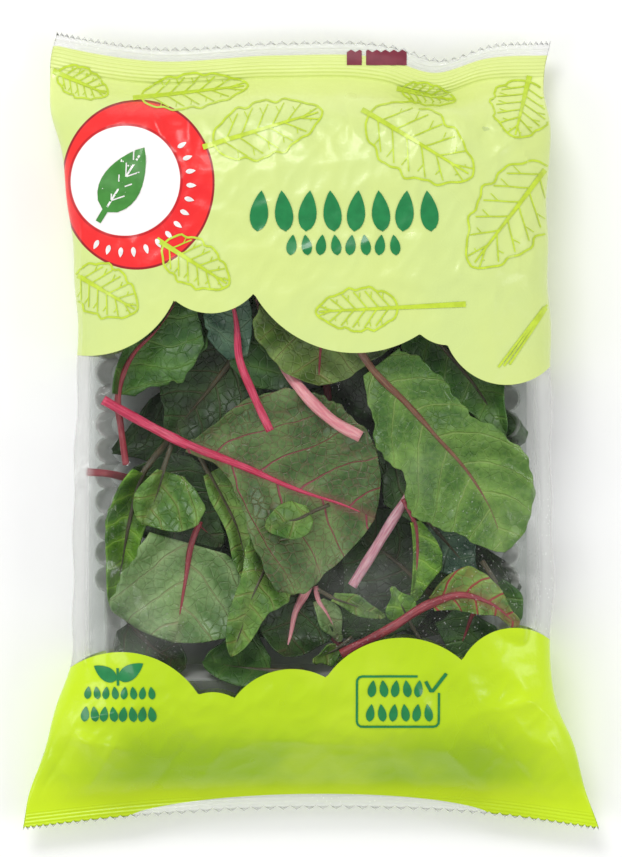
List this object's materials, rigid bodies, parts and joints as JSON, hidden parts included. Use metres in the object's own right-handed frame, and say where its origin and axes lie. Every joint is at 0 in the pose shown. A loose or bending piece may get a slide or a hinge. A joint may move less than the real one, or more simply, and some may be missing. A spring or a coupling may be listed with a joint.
{
  "type": "bagged swiss chard leaves pack",
  "caption": "Loose young chard leaves in a clear fluted tray, sealed in a printed clear film pillow bag with crimped end seals.",
  "frame": {"origin": "bottom centre of the bounding box, on the surface that the pack lies on", "axes": "+Y along the pack towards its top seal, +X to the right seen from the front, +Z out of the front of the pack"},
  "size_m": [0.206, 0.2842, 0.0421],
  "materials": {
    "film": "clear glossy film, printed pale green above and lime below",
    "clear_tray": "clear thermoformed sheet, glossy",
    "leaf": "fresh leaf, satin",
    "leaf_under": "fresh leaf, satin"
  },
  "bodies": {
    "root": {"film_bag": "film", "tray": "clear_tray", "leaf_bed_01": "leaf_under", "leaf_bed_02": "leaf_under", "leaf_bed_03": "leaf_under", "leaf_bed_04": "leaf_under", "leaf_bed_05": "leaf_under", "leaf_bed_06": "leaf_under", "leaf_bed_07": "leaf_under", "leaf_bed_08": "leaf_under", "leaf_bed_09": "leaf_under", "leaf_bed_10": "leaf_under", "leaf_bed_11": "leaf_under", "leaf_bed_12": "leaf_under", "leaf_bed_13": "leaf_under", "leaf_bed_14": "leaf_under", "leaf_bottom_left": "leaf", "leaf_bottom_mid": "leaf", "leaf_dark_mid": "leaf", "leaf_stub_left": "leaf", "leaf_back_right": "leaf", "leaf_upper_left": "leaf", "leaf_top_left": "leaf", "leaf_stem_pink": "leaf", "leaf_stub_pink": "leaf", "leaf_low_mid": "leaf", "leaf_blue_dark": "leaf", "leaf_right_lobe": "leaf", "leaf_low_right": "leaf", "leaf_stem_right": "leaf", "leaf_narrow_fold": "leaf", "leaf_left_roll": "leaf", "leaf_lower_left": "leaf", "leaf_left_fold": "leaf", "leaf_mid_fold": "leaf", "leaf_diagonal": "leaf", "leaf_stem_thin": "leaf", "leaf_centre": "leaf", "leaf_small_round": "leaf", "leaf_top_mid": "leaf", "leaf_pale_strip": "leaf", "leaf_bright_tip": "leaf", "leaf_low_tip": "leaf", "leaf_lower_right": "leaf", "leaf_right_top": "leaf"}
  },
  "joints": []
}
